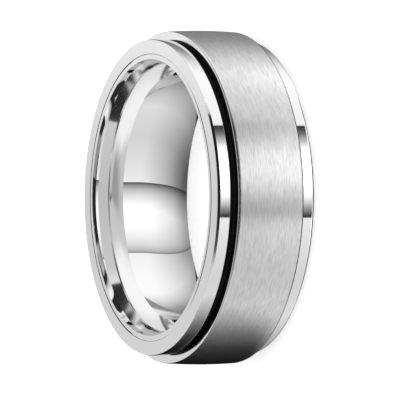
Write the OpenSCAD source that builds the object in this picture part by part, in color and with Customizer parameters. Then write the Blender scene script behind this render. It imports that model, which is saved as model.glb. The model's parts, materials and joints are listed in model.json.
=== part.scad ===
// Spinner ring: an inner sleeve, a collar pressed over its upper end, and a loose band that turns between.
// The ring lies on its side. The finger bore runs along +Z, and the origin is under it, on the lower face.

/* [Finger bore] */
// Diameter of the finger bore at its narrowest
bore_d = 18.5; // [15:0.1:23]
// Length of the straight land at the narrowest part of the bore
bore_land = 1.45; // [0.6:0.05:3]
// How far the bore opens out towards each end face, on the radius
bore_flare = 1.15; // [0.95:0.05:1.3]

/* [Upper mouth of the bore] */
// Depth of the crisp edge where the mouth meets the bore's land
lip_depth = 2.05; // [1.8:0.05:2.6]
// Depth at which the bead above that edge starts
bead_depth = 1.34; // [1.3:0.01:1.6]
// How far the start of the bead stands out from the land, on the radius
bead_open = 0.86; // [0.6:0.01:0.87]
// How far the bead bulges from the straight line between its ends
bead_bulge = 0.05; // [0.02:0.01:0.1]
// Depth of the corner above the bead, where the mouth's cone ends
cone_depth = 1.2; // [0.8:0.01:1.25]
// How far that corner stands out from the land, on the radius
cone_open = 0.88; // [0.88:0.01:1]
// Depth of the counterbore next to the end face
counter_depth = 0.5; // [0.2:0.05:0.7]
// How far the counterbore stands out from the land, on the radius
counter_open = 1.14; // [1.05:0.01:1.2]
// Broken edge between the counterbore and the end face
mouth_edge = 0.07; // [0.03:0.01:0.1]

/* [Rims and running surface] */
// Width of the ring from end face to end face
ring_w = 8; // [7:0.1:12]
// Width of each rim
rim_w = 1.08; // [0.8:0.01:1.3]
// Wall from the land of the bore out to the running surface
sleeve_wall = 2.05; // [1.9:0.05:3]
// Height of the rims above the running surface
rim_h = 0.6; // [0.4:0.05:1]
// Radius on the outer edge of the lower end face
face_edge_r = 0.18; // [0.05:0.01:0.25]
// Length over which the upper rim is polished back towards the upper end face
ease_len = 0.24; // [0.1:0.01:0.3]
// How far the upper rim is polished back at the upper end face, on the radius
ease_drop = 0.03; // [0.01:0.01:0.06]
// Broken outer edge of the upper end face
crisp_edge = 0.03; // [0.01:0.01:0.08]
// Radius on the rim edges beside the band
groove_edge_r = 0.03; // [0.02:0.01:0.15]

/* [Collar joint] */
// How far the neck under the collar lies below the running surface, on the radius
neck_drop = 0.5; // [0.3:0.05:0.6]
// Clearance between the collar and the sleeve
joint_gap = 0.03; // [0.01:0.005:0.05]
// Broken edge on both sides of the joint at the end face
joint_chamfer = 0.045; // [0.02:0.005:0.08]

/* [Spinner band] */
// Clearance between the band and the running surface, on the radius
run_gap = 0.05; // [0.02:0.01:0.1]
// Clearance between the band and the lower rim
lower_gap = 0.06; // [0.05:0.01:0.3]
// Open groove between the band and the upper rim
upper_gap = 0.36; // [0.1:0.01:1]
// Thickness of the band at its crown
band_t = 1.25; // [0.8:0.01:2]
// Height of the crown over the band's edges
crown_h = 0.09; // [0.05:0.01:0.25]
// Radius on the band's outer edges
band_edge_r = 0.12; // [0.05:0.01:0.3]
// Broken edge around the inside of the band
band_chamfer = 0.1; // [0.04:0.01:0.2]

/* [Hidden] */
$fn = 180;

bore_r = bore_d / 2;
mouth_r = bore_r + bore_flare;
seat_r = bore_r + sleeve_wall;
rim_r = seat_r + rim_h;
neck_r = seat_r - neck_drop;
shoulder_z = ring_w - rim_w;
land_top = ring_w - lip_depth;
land_foot = land_top - bore_land;
band_foot = rim_w + lower_gap;
band_top = shoulder_z - upper_gap;
band_in = seat_r + run_gap;
band_out = band_in + band_t;

// Radius of an arc that is level at its start, and rises by rise over run
function arc_r(run, rise) = (run * run + rise * rise) / (2 * rise);

// Half section of a ring with its two outer corners rounded
module rounded_half_section(r_in, r_out, z_lo, z_hi, lower_r, upper_r) {
    translate([r_in, z_lo + lower_r]) square([r_out - r_in, z_hi - z_lo - lower_r - upper_r]);
    translate([r_in, z_lo]) square([r_out - lower_r - r_in, z_hi - z_lo]);
    translate([r_in, z_lo]) square([r_out - upper_r - r_in, z_hi - z_lo]);
    translate([r_out - lower_r, z_lo + lower_r]) circle(r = lower_r);
    translate([r_out - upper_r, z_hi - upper_r]) circle(r = upper_r);
}

// What the bore takes out of the sleeve: the stepped upper mouth, the land and the lower mouth's arc
module bore_void() {
    flare_r = arc_r(land_foot, bore_flare);
    counter_r = bore_r + counter_open;
    bead_r = bore_r + bead_open;
    bead_top = ring_w - bead_depth;
    difference() {
        polygon([
            [0, land_foot],
            [bore_r, land_foot],
            [bore_r, land_top],
            [bead_r, bead_top],
            [bore_r + cone_open, ring_w - cone_depth],
            [counter_r, ring_w - counter_depth],
            [counter_r, ring_w - mouth_edge],
            [counter_r + mouth_edge, ring_w],
            [counter_r + mouth_edge, ring_w + 1],
            [0, ring_w + 1],
        ]);
        bead(bore_r, land_top, bead_r, bead_top);
    }
    difference() {
        translate([0, -1]) square([bore_r + flare_r, land_foot + 1]);
        translate([bore_r + flare_r, land_foot]) circle(r = flare_r);
    }
}

// The part of the bead that stands out from the straight line between its two ends
module bead(r_lo, z_lo, r_hi, z_hi) {
    chord = norm([r_hi - r_lo, z_hi - z_lo]);
    arc = arc_r(chord / 2, bead_bulge);
    reach = (arc - bead_bulge) / chord;
    intersection() {
        translate([(r_lo + r_hi) / 2 + reach * (z_hi - z_lo), (z_lo + z_hi) / 2 - reach * (r_hi - r_lo)])
            circle(r = arc, $fn = 720);
        translate([r_lo, z_lo]) square([r_hi - r_lo, z_hi - z_lo]);
    }
}

module inner_sleeve() {
    neck_top_r = neck_r - joint_chamfer;
    color("silver")
    rotate_extrude()
    difference() {
        union() {
            rounded_half_section(0, rim_r, 0, rim_w, face_edge_r, groove_edge_r);
            square([seat_r, shoulder_z]);
            polygon([
                [0, 0],
                [neck_r, 0],
                [neck_r, ring_w - joint_chamfer],
                [neck_top_r, ring_w],
                [0, ring_w],
            ]);
        }
        bore_void();
    }
}

module end_collar() {
    collar_in = neck_r + joint_gap;
    collar_foot = shoulder_z + joint_gap;
    ease_foot = ring_w - ease_len;
    face_r = rim_r - ease_drop;
    color("silver")
    rotate_extrude() {
        translate([collar_in, collar_foot + groove_edge_r])
            square([rim_r - collar_in, ease_foot - collar_foot - groove_edge_r]);
        translate([collar_in, collar_foot]) square([rim_r - groove_edge_r - collar_in, groove_edge_r * 2]);
        translate([rim_r - groove_edge_r, collar_foot + groove_edge_r]) circle(r = groove_edge_r);
        polygon([
            [collar_in, ease_foot],
            [rim_r, ease_foot],
            [face_r, ring_w - crisp_edge],
            [face_r - crisp_edge, ring_w],
            [collar_in + joint_chamfer, ring_w],
            [collar_in, ring_w - joint_chamfer],
        ]);
    }
}

module spinner_band() {
    half_w = (band_top - band_foot) / 2;
    mid = band_foot + half_w;
    crown_r = arc_r(half_w, crown_h);
    crown_mid = band_out - crown_r;
    // Middle of the rounded edges, and the height above the band's middle at which they meet the crown
    edge_mid = crown_mid + sqrt(pow(crown_r - band_edge_r, 2) - pow(half_w - band_edge_r, 2));
    meet = (half_w - band_edge_r) * crown_r / (crown_r - band_edge_r);
    color("gainsboro")
    rotate_extrude() {
        intersection() {
            translate([crown_mid, mid]) circle(r = crown_r, $fn = 720);
            translate([edge_mid - 0.1, mid - meet]) square([1, 2 * meet]);
        }
        translate([edge_mid, band_foot + band_edge_r]) circle(r = band_edge_r);
        translate([edge_mid, band_top - band_edge_r]) circle(r = band_edge_r);
        polygon([
            [band_in + band_chamfer, band_foot],
            [edge_mid, band_foot],
            [edge_mid, band_top],
            [band_in + band_chamfer, band_top],
            [band_in, band_top - band_chamfer],
            [band_in, band_foot + band_chamfer],
        ]);
    }
}

inner_sleeve();
end_collar();
spinner_band();
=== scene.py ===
import json
import math

import bmesh
import bpy
from mathutils import Matrix, Vector


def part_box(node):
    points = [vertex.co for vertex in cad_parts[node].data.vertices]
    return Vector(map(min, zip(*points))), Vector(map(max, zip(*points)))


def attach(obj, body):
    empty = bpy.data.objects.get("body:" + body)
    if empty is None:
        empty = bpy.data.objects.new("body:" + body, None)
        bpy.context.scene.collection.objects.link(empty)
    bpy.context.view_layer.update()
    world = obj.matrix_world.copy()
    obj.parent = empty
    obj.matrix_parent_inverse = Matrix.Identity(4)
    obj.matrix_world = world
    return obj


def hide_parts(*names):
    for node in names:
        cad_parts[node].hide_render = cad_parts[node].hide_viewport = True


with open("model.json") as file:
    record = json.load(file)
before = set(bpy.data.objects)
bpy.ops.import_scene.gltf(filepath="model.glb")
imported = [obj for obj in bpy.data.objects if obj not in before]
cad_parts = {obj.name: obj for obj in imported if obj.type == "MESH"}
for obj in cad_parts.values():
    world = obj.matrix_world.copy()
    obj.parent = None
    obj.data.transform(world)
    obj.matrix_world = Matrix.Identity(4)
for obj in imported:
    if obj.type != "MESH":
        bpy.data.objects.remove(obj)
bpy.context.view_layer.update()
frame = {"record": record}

# Inner sleeve
# The turned and polished steel tube that the finger goes through, with the lower rim in one piece with it.
# Its bore is eased for comfort, with a stepped upper mouth. The wall between the rims is painted black as
# shade.

MM = 0.001
turn_steps = 288                 # facets once round a turned piece
round_steps = 9                  # facets across a rounded edge
flare_steps = 28
bead_steps = 9
smooth_under = math.radians(14)  # an edge sharper than this stays crisp
hold = 0.012 * MM                # a side is straight again this far from its rounded corner
merge_under = 0.0002 * MM        # points closer than this are one

mounts = {m["name"]: m for m in frame["record"]["mounts"]}
bore_r = mounts["finger_bore"]["dims"]["r_mm"] * MM
bore_land = mounts["finger_bore"]["dims"]["length_mm"] * MM
ring_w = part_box("inner_sleeve")[1].z
bore_flare = 1.15 * MM
lip_depth = 2.05 * MM
bead_depth = 1.34 * MM
bead_r = bore_r + 0.86 * MM
bead_bulge = 0.05 * MM
bead_edge_r = 0.06 * MM
cone_depth = 1.2 * MM
cone_r = bore_r + 0.88 * MM
cone_edge_r = 0.02 * MM
counter_depth = 0.5 * MM
counter_r = bore_r + 1.14 * MM
counter_taper = 0.002 * MM       # the counterbore is this much narrower at its foot
counter_ease = 0.25 * MM         # the counterbore is polished open down to this depth
counter_open = 0.019 * MM        # and by this much at the end face
mouth_edge_r = 0.01 * MM
rim_w = 1.08 * MM
seat_r = bore_r + 2.05 * MM
rim_r = seat_r + 0.6 * MM
neck_r = seat_r - 0.5 * MM
shoulder_z = ring_w - rim_w
land_top = ring_w - lip_depth
face_edge_r = 0.22 * MM
groove_edge_r = 0.03 * MM
joint_ease = 0.08 * MM           # the sleeve's end is polished down beside the joint, over this width
joint_drop = 0.023 * MM


def half_section(corners):
    """Joins (radius, height, rounding) corners, with points that keep the sides straight by a rounding."""
    places = [Vector((corner[0], 0, corner[1])) for corner in corners]
    points = []
    rounded = []
    for i, place in enumerate(places):
        rounding = corners[i][2] if len(corners[i]) > 2 else 0
        if not rounding:
            points.append(place)
            continue
        to_before = (places[i - 1] - place).normalized()
        to_after = (places[(i + 1) % len(places)] - place).normalized()
        cut = rounding * math.tan((math.pi - to_before.angle(to_after)) / 2)
        points += [place + to_before * (cut + hold), place, place + to_after * (cut + hold)]
        rounded.append((place, cut))
    return points, rounded


def turned(name, corners):
    """Draws a half section by extruding a point, rounds its corners, and spins it round the finger axis."""
    points, rounded = half_section(corners)
    bpy.ops.object.select_all(action="DESELECT")
    bpy.ops.mesh.primitive_plane_add(size=MM, location=points[0])
    piece = bpy.context.object
    piece.name = name
    piece.data.name = name
    bpy.ops.object.transform_apply(location=True, rotation=True, scale=True)
    bpy.ops.object.mode_set(mode="EDIT")
    bpy.ops.mesh.select_mode(type="VERT")
    bpy.ops.mesh.select_all(action="SELECT")
    bpy.ops.mesh.merge(type="CENTER")
    for before, after in zip(points, points[1:]):
        bpy.ops.mesh.extrude_region_move(TRANSFORM_OT_translate={"value": after - before})
    mesh = bmesh.from_edit_mesh(piece.data)
    for vert in mesh.verts:
        vert.select = len(vert.link_edges) == 1
    mesh.select_flush_mode()
    bpy.ops.mesh.edge_face_add()
    for place, cut in rounded:
        bpy.ops.mesh.select_all(action="DESELECT")
        mesh = bmesh.from_edit_mesh(piece.data)
        min(mesh.verts, key=lambda vert: (vert.co - place).length).select = True
        mesh.select_flush_mode()
        bpy.ops.mesh.bevel(offset=cut, offset_pct=0, segments=round_steps, affect="VERTICES",
                           clamp_overlap=False)
    bpy.ops.mesh.select_all(action="SELECT")
    bpy.ops.mesh.spin(steps=turn_steps, angle=2 * math.pi, center=(0, 0, 0), axis=(0, 0, 1))
    bpy.ops.mesh.select_all(action="SELECT")
    bpy.ops.mesh.remove_doubles(threshold=merge_under)
    bpy.ops.mesh.normals_make_consistent(inside=False)
    bpy.ops.object.mode_set(mode="OBJECT")
    bpy.ops.object.shade_smooth_by_angle(angle=smooth_under)
    return piece


def flare_points():
    """Points down the arc from the bore's land to the lower mouth."""
    run = land_top - bore_land
    radius = (run * run + bore_flare * bore_flare) / (2 * bore_flare)
    sweep = math.asin(run / radius)
    angles = [sweep * i / flare_steps for i in range(1, flare_steps + 1)]
    return [(bore_r + radius * (1 - math.cos(angle)), run - radius * math.sin(angle)) for angle in angles]


def bead_points():
    """Points down the bead, which bulges towards the axis from the foot of the mouth's cone to the lip."""
    start = Vector((bead_r, ring_w - bead_depth))
    chord = Vector((bore_r, land_top)) - start
    half = chord.length / 2
    radius = (half * half + bead_bulge * bead_bulge) / (2 * bead_bulge)
    along = chord.normalized()
    out = Vector((along.y, -along.x))
    sweep = math.asin(half / radius)
    points = []
    for i in range(1, bead_steps):
        angle = sweep * (2 * i / bead_steps - 1)
        point = start + along * (half + radius * math.sin(angle))
        points.append(tuple(point + out * radius * (math.cos(angle) - math.cos(sweep))))
    return points


sleeve = turned("turned_sleeve", [
    (rim_r, 0, face_edge_r),
    (rim_r, rim_w, groove_edge_r),
    (seat_r, rim_w),
    (seat_r, shoulder_z),
    (neck_r, shoulder_z),
    (neck_r, ring_w - joint_drop),
    (neck_r - joint_ease, ring_w),
    (counter_r + counter_open, ring_w, mouth_edge_r),
    (counter_r, ring_w - counter_ease),
    (counter_r - counter_taper, ring_w - counter_depth),
    (cone_r, ring_w - cone_depth, cone_edge_r),
    (bead_r, ring_w - bead_depth, bead_edge_r),
    *bead_points(),
    (bore_r, land_top),
    (bore_r, land_top - bore_land),
    *flare_points(),
])


def new_group(name, wanted, given):
    """Starts a shader node group with named values in and named colours, masks or heights out."""
    tree = bpy.data.node_groups.new(name, "ShaderNodeTree")
    for socket, value in wanted.items():
        made = tree.interface.new_socket(socket, in_out="INPUT", socket_type="NodeSocketFloat")
        made.default_value = value
    for socket in given:
        tree.interface.new_socket(socket, in_out="OUTPUT", socket_type="NodeSocketFloat")
    return tree, tree.nodes.new("NodeGroupInput").outputs, tree.nodes.new("NodeGroupOutput").inputs


def feed(tree, value, socket):
    """Sets a socket to a number, or links another node's socket to it."""
    if isinstance(value, bpy.types.NodeSocket):
        tree.links.new(value, socket)
    else:
        socket.default_value = value


def maths(tree, operation, *values, clamp=False):
    """Adds a Math node fed by numbers or by other nodes' sockets."""
    node = tree.nodes.new("ShaderNodeMath")
    node.operation = operation
    node.use_clamp = clamp
    for socket, value in zip(node.inputs, values):
        feed(tree, value, socket)
    return node.outputs[0]


def grain(tree, fineness, detail=2.0, turn=(0, 0, 0)):
    """Adds noise that is so many times finer along each axis of the object, which may be turned first."""
    place = tree.nodes.new("ShaderNodeTexCoord").outputs["Object"]
    laid = tree.nodes.new("ShaderNodeMapping")
    laid.inputs["Rotation"].default_value = turn
    laid.inputs["Scale"].default_value = fineness
    noise = tree.nodes.new("ShaderNodeTexNoise")
    noise.inputs["Scale"].default_value = 1
    noise.inputs["Detail"].default_value = detail
    tree.links.new(place, laid.inputs["Vector"])
    tree.links.new(laid.outputs["Vector"], noise.inputs["Vector"])
    return noise.outputs["Fac"]


# Hairlines lie every way on worn polish, and smudges are broad and faint.
smudge_fineness = (260, 260, 330)
hairline_over = 0.7              # the noise's peaks above this are hairlines
hairline_rise = 5.0              # how steeply they rise from there
hairline_lays = (                # how each lay of hairlines is turned, and how fine it is along each axis
    ((0.3, 0.2, 0.5), (150, 9000, 9000)),
    ((1.1, 0.7, 2.1), (180, 11000, 11000)),
    ((0.4, 2.0, 0.9), (160, 10000, 10000)),
)
tree, wanted, given = new_group("polish_wear", {"Smoothest": 0.04, "Smudge": 0.05, "Scratch": 0.1},
                                ["Roughness", "Height"])
smudge = maths(tree, "MULTIPLY", grain(tree, smudge_fineness, detail=3), wanted["Smudge"])
hairlines = 0.0
for turn, fineness in hairline_lays:
    peaks = maths(tree, "SUBTRACT", grain(tree, fineness, detail=0, turn=turn), hairline_over)
    hairlines = maths(tree, "MAXIMUM", hairlines, maths(tree, "MULTIPLY", peaks, hairline_rise, clamp=True))
scratch = maths(tree, "MULTIPLY", hairlines, wanted["Scratch"])
smudged = maths(tree, "ADD", wanted["Smoothest"], smudge)
tree.links.new(maths(tree, "ADD", smudged, scratch), given["Roughness"])
tree.links.new(maths(tree, "SUBTRACT", 1.0, hairlines), given["Height"])


def add_group(tree, name, **values):
    """Places a node group in a material and sets its values."""
    node = tree.nodes.new("ShaderNodeGroup")
    node.node_tree = bpy.data.node_groups[name]
    for socket, value in values.items():
        node.inputs[socket].default_value = value
    return node


def add_bump(tree, height, metal, distance):
    """Presses a height into the surface, as deep as the distance."""
    bump = tree.nodes.new("ShaderNodeBump")
    bump.inputs["Strength"].default_value = 1
    bump.inputs["Distance"].default_value = distance
    tree.links.new(height, bump.inputs["Height"])
    tree.links.new(bump.outputs["Normal"], metal.inputs["Normal"])


def bare_steel(name, color):
    """Starts a steel and returns it with its node tree and its shader."""
    made = bpy.data.materials.new(name)
    made.use_nodes = True
    metal = made.node_tree.nodes["Principled BSDF"]
    metal.inputs["Base Color"].default_value = color
    metal.inputs["Metallic"].default_value = 1
    return made, made.node_tree, metal


def worn_steel(name, color, **values):
    """Makes a steel that is as rough as the wear of its polish says."""
    made, tree, metal = bare_steel(name, color)
    wear = add_group(tree, "polish_wear", **values)
    tree.links.new(wear.outputs["Roughness"], metal.inputs["Roughness"])
    return made


steel_color = (0.88, 0.88, 0.885, 1)
# painted shade for the deep groove between the rims, and the dark joint line
groove_shade_and_joint_color = (0.1, 0.1, 0.1, 1)
polished = worn_steel("polished_steel", steel_color, Smoothest=0.03, Smudge=0.035, Scratch=0.12)

# The bore and the counterbore are polished last, to a clean mirror with only the faintest hairlines
# pressed into it.
hairline_depth = 0.00002 * MM
mirror, tree, metal = bare_steel("bore_mirror", steel_color)
metal.inputs["Roughness"].default_value = 0
add_bump(tree, add_group(tree, "polish_wear").outputs["Height"], metal, hairline_depth)

# The cone and the bead of the mouth are polished by hand, a little less perfectly. The groove is rough,
# and painted black as the shade that falls in it, a little patchy; the same black makes the dark joint
# line.
mouth = worn_steel("mouth_polish", steel_color, Smoothest=0.08, Smudge=0.03, Scratch=0.03)
groove_shade_and_joint = worn_steel("groove_shade_and_joint_black", groove_shade_and_joint_color, Smoothest=0.3, Smudge=0.25, Scratch=0.1)

# Each face takes its finish by its place and by how far it points up or down.
polished_slot, shade_and_joint_slot, mirror_slot, mouth_slot = range(4)
for material in (polished, groove_shade_and_joint, mirror, mouth):
    sleeve.data.materials.append(material)
near = 0.01 * MM                 # slack in a face's distance from the axis
hair = 0.001 * MM                # slack in its height
inside_r = counter_r + 0.1 * MM  # all that lies within this is the bore, its mouths or an end face
end_level = 0.99                 # an end face points up or down by more than this
ease_level = 0.9                 # the polished ease beside the joint points up by more than this
for face in sleeve.data.polygons:
    reach = math.hypot(face.center.x, face.center.y)
    in_groove = rim_w - hair < face.center.z < shoulder_z + hair and reach > seat_r - near
    in_joint = reach > neck_r - joint_ease and face.center.z > shoulder_z and face.normal.z < ease_level
    # the groove takes the painted black shade, and the joint its dark line
    if in_groove or in_joint:
        face.material_index = shade_and_joint_slot
    elif reach < inside_r and abs(face.normal.z) < end_level:
        in_mouth = land_top < face.center.z < ring_w - counter_depth
        face.material_index = mouth_slot if in_mouth else mirror_slot
    else:
        face.material_index = polished_slot
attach(sleeve, "band")
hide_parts("inner_sleeve")

# End collar
# The steel ring that makes the upper rim. It is pressed over the sleeve's neck once the band is on,
# and polished with the sleeve's end, so that only a fine round line shows.

joint_gap = 0.03 * MM
collar_in = neck_r + joint_gap
collar_foot = shoulder_z + joint_gap
rim_ease = 0.24 * MM             # the rim is polished back towards the end face from here
rim_ease_r = 0.2 * MM
face_r = rim_r - 0.03 * MM
face_edge_crisp = 0.03 * MM
collar = turned("pressed_collar", [
    (collar_in, collar_foot),
    (rim_r, collar_foot, groove_edge_r),
    (rim_r, ring_w - rim_ease, rim_ease_r),
    (face_r, ring_w, face_edge_crisp),
    (collar_in, ring_w),
])

# Its inner wall shows black as the dark joint line, and its lower face over the groove is painted black as
# shade.
for material in (polished, groove_shade_and_joint):
    collar.data.materials.append(material)
for face in collar.data.polygons:
    reach = math.hypot(face.center.x, face.center.y)
    in_joint = reach < collar_in + near and face.normal.z < ease_level
    if in_joint or face.center.z < collar_foot + hair:
        face.material_index = shade_and_joint_slot
    else:
        face.material_index = polished_slot
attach(collar, "band")
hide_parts("end_collar")

# Spinner band
# The loose outer band of steel, crowned a little and brushed around its outside. It is slipped over
# the sleeve before the collar is pressed on, and turns between the rims.

run_gap = 0.05 * MM
crown_h = 0.09 * MM
lower_edge_r = 0.22 * MM
upper_ease = 0.14 * MM           # the upper edge is eased over this width
upper_rise = 0.009 * MM          # the crown stands this far over the band's edge where the ease starts
upper_drop = 0.03 * MM
upper_turn_r = 1.2 * MM          # the crown turns into the ease over this radius
upper_edge_r = 0.03 * MM
band_chamfer = 0.1 * MM
crown_steps = 16
band_low, band_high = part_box("spinner_band")
band_foot = band_low.z
band_top = band_high.z
band_in = seat_r + run_gap
band_out = min(band_high.x, -band_low.x, band_high.y, -band_low.y)
half_w = (band_top - band_foot) / 2
crown_r = (half_w * half_w + crown_h * crown_h) / (2 * crown_h)
crown_sweep = math.asin(half_w / crown_r)


def crown_points():
    """Points up the crown between the band's two edges, without the edges."""
    points = []
    for i in range(1, crown_steps):
        angle = crown_sweep * (2 * i / crown_steps - 1)
        reach = band_out - crown_r * (1 - math.cos(angle))
        points.append((reach, band_foot + half_w + crown_r * math.sin(angle)))
    return points


band_edge = band_out - crown_h
band = turned("brushed_band", [
    (band_in + band_chamfer, band_foot),
    (band_edge, band_foot, lower_edge_r),
    *crown_points(),
    (band_edge + upper_rise, band_top - upper_ease, upper_turn_r),
    (band_edge + upper_rise - upper_drop, band_top, upper_edge_r),
    (band_in + band_chamfer, band_top),
    (band_in, band_top - band_chamfer),
    (band_in, band_foot + band_chamfer),
])

# The brush leaves short fine lines around the band, some of them longer and broader than the others.
short_fineness = (1700, 1700, 16000)
long_fineness = (800, 800, 9000)
short_share = 0.6
line_over = 0.3                  # the noise above this is a line
line_rise = 2.5                  # how steeply it deepens from there
unlined = 1.06                   # the shade between lines, over full so that the faintest lines stay light
tree, wanted, given = new_group("brush_lines", {"Smoothest": 0.3, "Spread": 0.1, "Dark": 0.1},
                                ["Roughness", "Shade", "Height"])
short = maths(tree, "MULTIPLY", grain(tree, short_fineness), short_share)
long = maths(tree, "MULTIPLY", grain(tree, long_fineness), 1 - short_share)
over = maths(tree, "SUBTRACT", maths(tree, "ADD", short, long), line_over)
depth = maths(tree, "MULTIPLY", over, line_rise, clamp=True)
roughened = maths(tree, "MULTIPLY", depth, wanted["Spread"])
darkened = maths(tree, "MULTIPLY", depth, wanted["Dark"])
tree.links.new(maths(tree, "ADD", wanted["Smoothest"], roughened), given["Roughness"])
tree.links.new(maths(tree, "SUBTRACT", unlined, darkened), given["Shade"])
tree.links.new(depth, given["Height"])

brushed_color = (0.99, 0.99, 1.0, 1)
line_depth = 0.0009 * MM
brushed, tree, metal = bare_steel("brushed_steel", brushed_color)
metal.inputs["Anisotropic"].default_value = 0.88
metal.inputs["Anisotropic Rotation"].default_value = 0.25
around = tree.nodes.new("ShaderNodeTangent")
around.direction_type = "RADIAL"
around.axis = "Z"
tree.links.new(around.outputs["Tangent"], metal.inputs["Tangent"])
brush = add_group(tree, "brush_lines", Smoothest=0.3, Spread=0.12, Dark=0.3)
tree.links.new(brush.outputs["Roughness"], metal.inputs["Roughness"])
shade = tree.nodes.new("ShaderNodeMix")
shade.data_type = "RGBA"
shade.inputs["A"].default_value = (0, 0, 0, 1)
shade.inputs["B"].default_value = brushed_color
tree.links.new(brush.outputs["Shade"], shade.inputs["Factor"])
tree.links.new(shade.outputs["Result"], metal.inputs["Base Color"])
add_bump(tree, brush.outputs["Height"], metal, line_depth)

# The eased upper edge is rubbed smooth, without brush lines. The rounded lower edge is a little rougher,
# and painted darker as the shade of the gap beneath it.
lower_edge_shade_color = (0.5, 0.5, 0.5, 1)
rubbed = worn_steel("rubbed_edge", steel_color, Smoothest=0.17, Smudge=0.06, Scratch=0.1)
shaded_lower_edge = worn_steel("lower_edge_painted_shade", lower_edge_shade_color, Smoothest=0.2, Smudge=0.08, Scratch=0.1)

brushed_slot, end_slot, rubbed_slot, lower_edge_shade_slot = range(4)
for material in (brushed, polished, rubbed, shaded_lower_edge):
    band.data.materials.append(material)
lower_edge_shade_from = -0.12                # a face that points further down than this is the lower edge, painted darker as shade
end_from = 0.9                   # one that points further up than this is the polished upper end face
rubbed_from = 0.08               # of the others, one that points up or down by more than this is rubbed
for face in band.data.polygons:
    if face.normal.z < lower_edge_shade_from:
        face.material_index = lower_edge_shade_slot
    elif face.normal.z > end_from:
        face.material_index = end_slot
    elif abs(face.normal.z) > rubbed_from:
        face.material_index = rubbed_slot
    else:
        face.material_index = brushed_slot
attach(band, "spinner")
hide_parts("spinner_band")

# Floor
# The plain white table top that the ring lies on, painted matt. It is wide enough to fill the picture,
# and it is left out of the steel's reflections.

table_size = 4
table_color = (0.9, 0.9, 0.9, 1)
bpy.ops.object.select_all(action="DESELECT")
bpy.ops.mesh.primitive_plane_add(size=table_size, location=(0, 0, 0))
floor = bpy.context.object
floor.name = "floor"
floor.visible_glossy = False
paint = bpy.data.materials.new("white_table")
paint.use_nodes = True
coat = paint.node_tree.nodes["Principled BSDF"]
coat.inputs["Base Color"].default_value = table_color
coat.inputs["Roughness"].default_value = 0.7
coat.inputs["Emission Color"].default_value = (1, 1, 1, 1)
coat.inputs["Emission Strength"].default_value = 0.5
floor.data.materials.append(paint)

# Dark card
# A black card that stands beside the ring, at the foot of the picture. It shows only in the metal,
# and thins out towards its two ends.

card_x = -13.15 * MM
card_height = 8.5 * MM
card_half = 12 * MM
# From the card's middle at 0 to its ends at 1, the share of light that it lets through
card_fade = ((0.0, 0.02), (0.36, 0.09), (0.56, 0.3), (0.74, 0.66), (0.92, 1.0))
bpy.ops.object.select_all(action="DESELECT")
bpy.ops.mesh.primitive_plane_add(size=2, location=(0, 0, 0))
card = bpy.context.object
card.name = "dark_card"
card.matrix_world = (Matrix.Translation((card_x, 0, card_height / 2)) @ Matrix.Rotation(math.pi / 2, 4, "Y")
                     @ Matrix.Diagonal((card_height / 2, card_half, 1, 1)))
bpy.ops.object.transform_apply(location=True, rotation=True, scale=True)
for seen in ("visible_camera", "visible_diffuse", "visible_transmission", "visible_shadow",
             "visible_volume_scatter"):
    setattr(card, seen, False)
felt = bpy.data.materials.new("dark_card")
felt.use_nodes = True
tree = felt.node_tree
tree.nodes.clear()
place = tree.nodes.new("ShaderNodeSeparateXYZ")
tree.links.new(tree.nodes.new("ShaderNodeTexCoord").outputs["Object"], place.inputs["Vector"])
aside = maths(tree, "DIVIDE", maths(tree, "ABSOLUTE", place.outputs["Y"]), card_half)
fade = tree.nodes.new("ShaderNodeValToRGB")
for at, light in card_fade:
    stop = fade.color_ramp.elements[0] if at == 0 else fade.color_ramp.elements.new(at)
    stop.position = at
    stop.color = (light, light, light, 1)
tree.links.new(aside, fade.inputs["Fac"])
veil = tree.nodes.new("ShaderNodeBsdfTransparent")
tree.links.new(fade.outputs["Color"], veil.inputs["Color"])
tree.links.new(veil.outputs["BSDF"], tree.nodes.new("ShaderNodeOutputMaterial").inputs["Surface"])
card.data.materials.append(felt)

# Studio light
# A tent of soft light panels around the ring, which only the steel mirrors. All else sees plain white.
# Bearing is counted in degrees from the camera's side, positive towards the picture's top, and height
# from level.

steel_share = steel_color[0]     # the share of light that the polished steel sends back
unlit = 0.02                     # brightness of the tent's darkest parts
world = bpy.data.worlds.new("light_tent")
bpy.context.scene.world = world
world.use_nodes = True
world.cycles.sampling_method = "NONE"
tree = world.node_tree
tree.nodes.clear()


def levels(value, low, high, stops):
    """Brightness against a value, by stops of (value, brightness)."""
    node = tree.nodes.new("ShaderNodeValToRGB")
    tree.links.new(maths(tree, "DIVIDE", maths(tree, "SUBTRACT", value, low), high - low, clamp=True),
                   node.inputs["Fac"])
    curve = node.color_ramp
    while len(curve.elements) > 1:
        curve.elements.remove(curve.elements[-1])
    for i, (at, bright) in enumerate(stops):
        share = (at - low) / (high - low)
        stop = curve.elements[0] if i == 0 else curve.elements.new(share)
        stop.position = share
        stop.color = (bright, bright, bright, 1)
    return node.outputs["Color"]


def edge_line(value, low, high, most, stops):
    """An edge's angle against a value, by stops of (value, angle), which the ramp holds as shares."""
    shares = [(at, angle / most) for at, angle in stops]
    return maths(tree, "MULTIPLY", levels(value, low, high, shares), most)


def above(value, edge, soft):
    """From 0 to 1 as a value rises past an edge, over a soft width."""
    past = maths(tree, "DIVIDE", maths(tree, "SUBTRACT", value, edge), soft)
    return maths(tree, "ADD", past, 0.5, clamp=True)


def below(value, edge, soft):
    """From 1 to 0 as a value rises past an edge, over a soft width."""
    return above(value, edge, -soft)


def times(*values):
    """Multiplies masks or brightnesses."""
    product = values[0]
    for value in values[1:]:
        product = maths(tree, "MULTIPLY", product, value)
    return product


def mix(share, first, second):
    """The first value where the share is 0, and the second where it is 1."""
    node = tree.nodes.new("ShaderNodeMix")
    feed(tree, share, node.inputs["Factor"])
    feed(tree, first, node.inputs["A"])
    feed(tree, second, node.inputs["B"])
    return node.outputs["Result"]


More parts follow.
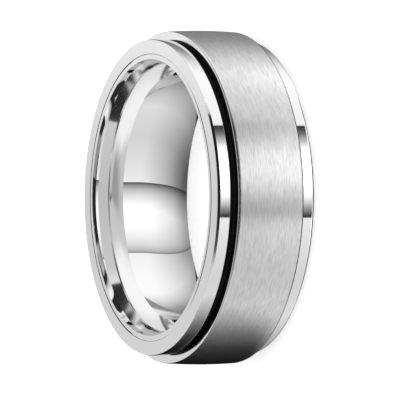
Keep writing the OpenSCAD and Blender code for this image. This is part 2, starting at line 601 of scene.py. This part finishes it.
def toward(direction):
    """How far the ray points along a direction, from -1 to 1."""
    node = tree.nodes.new("ShaderNodeVectorMath")
    node.operation = "DOT_PRODUCT"
    node.inputs[1].default_value = Vector(direction).normalized()
    tree.links.new(ray, node.inputs[0])
    return node.outputs["Value"]


ray = tree.nodes.new("ShaderNodeTexCoord").outputs["Generated"]
split = tree.nodes.new("ShaderNodeSeparateXYZ")
tree.links.new(ray, split.inputs["Vector"])
to_camera = times(split.outputs["Y"], -1.0)
bearing = maths(tree, "DEGREES", maths(tree, "ARCTAN2", split.outputs["X"], to_camera))
height = maths(tree, "DEGREES", maths(tree, "ARCSINE", split.outputs["Z"]))
aside = maths(tree, "ABSOLUTE", bearing)

# The low walls: light grey beside the ring and in front of it, darker behind it and towards the floor,
# and unlit past their rear edge.
walls = levels(bearing, -180, 180, [
    (-180, 0.1), (-169, 0.12), (-153, 0.22), (-137, 0.33), (-121, 0.5), (-97, 0.72), (-60, 0.65),
    (-30, 0.76), (-15, 0.84), (50, 0.87), (65, 0.92), (80, 0.95), (92, 0.97), (105, 0.94), (121, 0.62),
    (133, 0.31), (145, 0.21), (153, 0.17), (165, 0.12), (180, 0.08)])
to_floor = levels(height, -90, 0, [
    (-90, 0.1), (-75, 0.15), (-65, 0.33), (-55, 0.55), (-45, 0.72), (-33, 0.9), (-25, 1.0)])
rear_edge = edge_line(height, -90, 0, 200, [(-90, 60), (-60, 115), (-45, 130), (-30, 150), (-24, 200)])
low = mix(above(aside, rear_edge, 2.0), times(walls, to_floor), unlit)

# The window: one bright straight-edged panel on the camera's side, which fades in from two of its edges.
# It stands close, so the mirror of the bore sees it fade in faster than the rims do.
window_left = math.radians(-14.4)
window_right = (-0.4914, -0.5212, -0.1949)    # square to the window's right edge
window_edge = 0.003                           # softness of its two edges
from_left = toward((math.cos(window_left), math.sin(window_left), 0))
from_right = toward(window_right)
sharp = tree.nodes.new("ShaderNodeLightPath").outputs["Is Singular Ray"]
left_rims = levels(from_left, 0, 1, [
    (0, 0.02), (0.02, 0.03), (0.06, 0.14), (0.11, 0.31), (0.2, 0.76), (0.3, 1.25), (0.4, 1.9)])
left_bore = levels(from_left, 0, 1, [
    (0, 0.05), (0.022, 0.165), (0.05, 0.3), (0.1, 0.49), (0.17, 0.68), (0.25, 0.86), (0.33, 1.02)])
right_rims = levels(from_right, 0, 1, [
    (0, 0.02), (0.02, 0.03), (0.1, 0.16), (0.2, 0.6), (0.3, 1.25), (0.4, 1.9)])
right_bore = levels(from_right, 0, 1, [
    (0, 0.1), (0.012, 0.33), (0.03, 0.45), (0.06, 0.55), (0.12, 0.69), (0.23, 0.84), (0.4, 1.02)])
left_glow = mix(sharp, left_rims, left_bore)
right_glow = mix(sharp, right_rims, right_bore)
window_fall = levels(height, -90, 0, [(-90, 0.4), (-75, 0.45), (-62, 0.74), (-50, 0.87), (-37, 1.0)])
window = times(maths(tree, "MINIMUM", left_glow, right_glow), window_fall)
in_window = times(above(from_left, 0.0, window_edge), above(from_right, 0.0, window_edge))
low = mix(in_window, low, window)

# Low down, all but the clean mirrors gather this light instead, which changes around the ring.
spread = levels(bearing, -180, 180, [
    (-180, 0.02), (-128, 0.1), (-114, 0.62), (-102, 0.7), (-84, 0.46), (-63, 0.56), (-44, 0.8), (-18, 1.36),
    (-13, 0.86), (1, 0.8), (20, 1.06), (40, 1.16), (52, 1.48), (60, 1.46), (66, 0.85), (72, 0.58),
    (82, 0.48), (93, 0.88), (101, 1.5), (108, 1.6), (115, 1.2), (130, 0.3), (165, 0.08), (180, 0.04)])
spread_fall = levels(height, -90, 0, [(-90, 0.02), (-61, 0.04), (-54, 0.62), (-48, 1.5), (-37, 1.5)])
gathered = times(maths(tree, "SUBTRACT", 1.0, sharp), below(height, -37, 8))
low = mix(gathered, low, times(spread, spread_fall))

# The dark strip at eye level, and the roof of the tent over it, with a dark gap high behind the ring.
roof = levels(bearing, -180, 180, [
    (-180, 0.6), (-179.4, 0.65), (-165, 0.66), (-145, 0.72), (-125, 0.85), (-105, 0.9), (-80, 0.86),
    (-60, 0.58), (0, 0.5), (60, 0.58), (80, 0.86), (100, 0.92), (130, 0.92), (145, 0.74), (165, 0.7),
    (178, 0.84), (178.9, 0.82), (179.2, 0.72), (180, 0.6)])
zenith = levels(bearing, -180, 180, [
    (-180, 0.5), (-110, 0.55), (-85, 0.32), (10, 0.32), (35, 0.55), (180, 0.6)])
roof = mix(above(height, 68, 12), roof, zenith)
strip_foot = edge_line(bearing, -180, 180, -20, [
    (-180, -11), (-60, -11), (-40, -12.5), (-18, -16), (0, -19), (50, -19), (62, -13), (180, -12)])
strip_top = edge_line(bearing, -180, 180, 20, [
    (-180, 12), (-66, 12), (-63, 6), (74, 6), (77, 12), (180, 12)])
strip_low = levels(bearing, -180, 180, [
    (-180, 0.03), (-135, 0.06), (-105, 0.28), (-75, 0.33), (-55, 0.2), (-40, 0.11), (-20, 0.02),
    (0, 0.012), (55, 0.012), (70, 0.1), (105, 0.2), (150, 0.2), (180, 0.1)])
dark_strip = mix(above(height, 0, 4), strip_low, unlit)
tent = mix(above(height, strip_foot, 2.0), low, dark_strip)
tent = mix(above(height, strip_top, 1.0), tent, roof)
behind = times(above(aside, 158, 6), above(height, 44, 8))
tent = mix(behind, tent, unlit)

# What the steel mirrors a second time, mostly in the mouth, is set darker in places. This stands in for
# what is near the ring. A ray's depth is one more than the times that it was mirrored.
passed = tree.nodes.new("ShaderNodeLightPath").outputs["Ray Depth"]
twice = times(above(passed, 2.5, 0.1), below(passed, 3.5, 0.1))
foot = times(below(height, -62, 3), above(aside, 75, 10))
left_side = times(above(bearing, -78, 4), below(bearing, -11, 4),
                  maths(tree, "MAXIMUM", above(height, -40, 2), above(bearing, -28, 4)))
right_side = times(above(bearing, 24, 4), below(bearing, 68, 4))
sides = times(maths(tree, "ADD", left_side, right_side), above(height, -56, 4), below(height, -20, 2))
eye_level = times(above(height, -20, 2), below(height, 25, 2), below(aside, 62, 4))
blocked = maths(tree, "MAXIMUM", foot, maths(tree, "MAXIMUM", sides, eye_level))
hazy = times(above(height, -20, 2), below(height, 28, 2), above(aside, 62, 4), below(aside, 101, 4))

# The counterbore's wall looks across the finger hole, out under the ring's near side: dim towards the
# picture's top, and dark towards its foot.
under_side = above(height, -66, 4)
dim = times(under_side, above(bearing, 60, 4), below(bearing, 142, 2), below(height, -38, 4))
dark = times(under_side, above(bearing, -124, 4), below(bearing, -88, 2), below(height, -44, 4))
for patch, bright in ((blocked, 0.025), (hazy, 0.25), (dim, 0.3), (dark, unlit)):
    tent = mix(times(twice, patch), tent, bright)

# What the steel mirrors more often than that runs together into one grey.
often = times(above(passed, 3.5, 0.1), above(height, -20, 2))
tent = mix(often, tent, 0.55)

mirrored = tree.nodes.new("ShaderNodeLightPath").outputs["Is Glossy Ray"]
sky = tree.nodes.new("ShaderNodeBackground")
sky.inputs["Color"].default_value = (1, 1, 1, 1)
tree.links.new(mix(mirrored, 1.0, maths(tree, "DIVIDE", tent, steel_share)), sky.inputs["Strength"])
tree.links.new(sky.outputs["Background"], tree.nodes.new("ShaderNodeOutputWorld").inputs["Surface"])

# Camera
# A long lens at the photo's angle to the ring, rolled a quarter turn so that the upper end face
# is at the left.

axis_angle = math.radians(64.68)    # between the line of sight and the finger axis
roll = math.radians(0.158)
camera_distance = 600 * MM
pixels_per_mm = 13.288              # at the middle of the upper end face
face_x = -3.784 * MM                # the middle of the upper end face, right of the picture's middle
face_y = -0.189 * MM                # and below it
sensor = 36.0
picture = 400                       # pixels across

ahead = Vector((0, math.sin(axis_angle), -math.cos(axis_angle)))
across = math.cos(roll)
right = Vector((math.sin(roll), -across * math.cos(axis_angle), -across * math.sin(axis_angle)))
down = ahead.cross(right)
place = Vector((0, 0, ring_w)) - face_x * right - face_y * down - camera_distance * ahead
lens = bpy.data.cameras.new("camera")
lens.sensor_width = sensor
lens.lens = sensor * pixels_per_mm * camera_distance / MM / picture
lens.clip_start = 0.05
lens.clip_end = 20
camera = bpy.data.objects.new("camera", lens)
bpy.context.scene.collection.objects.link(camera)
camera.matrix_world = Matrix.Translation(place) @ Matrix((right, -down, -ahead)).transposed().to_4x4()
bpy.context.scene.camera = camera
bpy.context.scene.view_settings.view_transform = "Standard"
